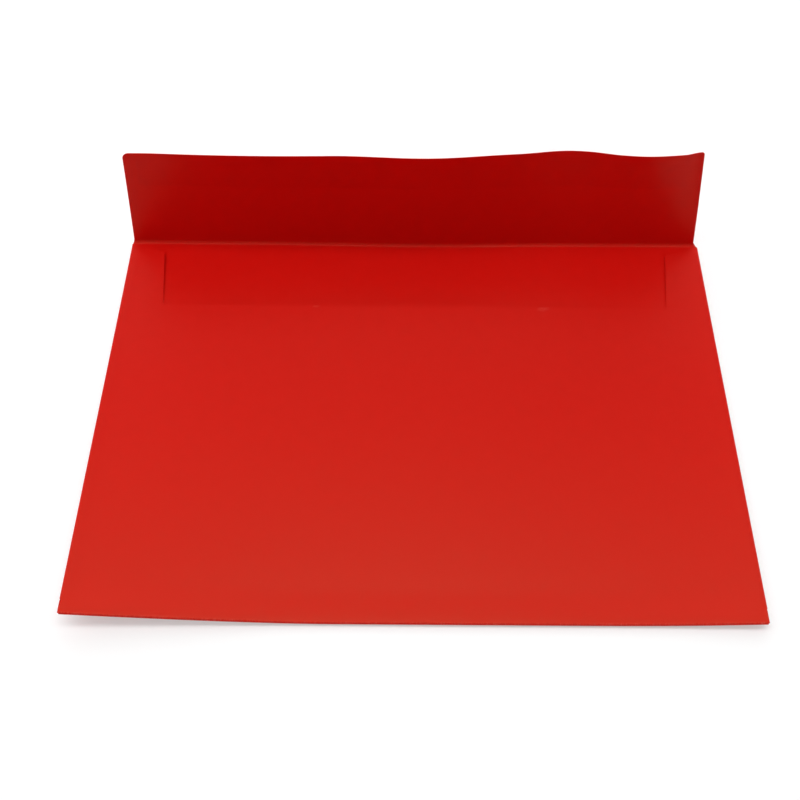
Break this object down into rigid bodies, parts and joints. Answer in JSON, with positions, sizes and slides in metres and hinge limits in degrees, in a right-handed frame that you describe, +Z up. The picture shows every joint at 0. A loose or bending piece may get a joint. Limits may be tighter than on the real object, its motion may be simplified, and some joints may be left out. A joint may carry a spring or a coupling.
{
  "type": "wallet envelope",
  "caption": "Wide wallet envelope lying on its address face, its long seal flap raised on the fold and its pocket slightly open.",
  "frame": {"origin": "middle of the address face's underside, where the envelope lies on the table", "axes": "+X along the seal fold, +Y from the bottom fold to the seal fold, +Z up, away from the table"},
  "size_m": [0.324, 0.2408, 0.0637],
  "materials": {
    "panel_paper": "uncoated dyed paper, matt",
    "flap_paper": "uncoated dyed paper, matt",
    "seam_glue": "dried milky adhesive",
    "seal_gum": "thin clear dried gum on red paper"
  },
  "bodies": {
    "envelope_body": {"front_panel": "panel_paper", "left_side_flap": "panel_paper", "right_side_flap": "panel_paper", "left_seam_glue": "seam_glue", "right_seam_glue": "seam_glue", "back_panel": "panel_paper"},
    "seal_flap": {"seal_flap": "flap_paper", "seal_gum": "seal_gum"}
  },
  "joints": [
    {"name": "seal_fold", "type": "hinge", "parent": "envelope_body", "child": "seal_flap", "pos_m": [0, 0.1145, 0.00045], "axis": [1, 0, 0], "range_deg": [-78, 86]}
  ]
}
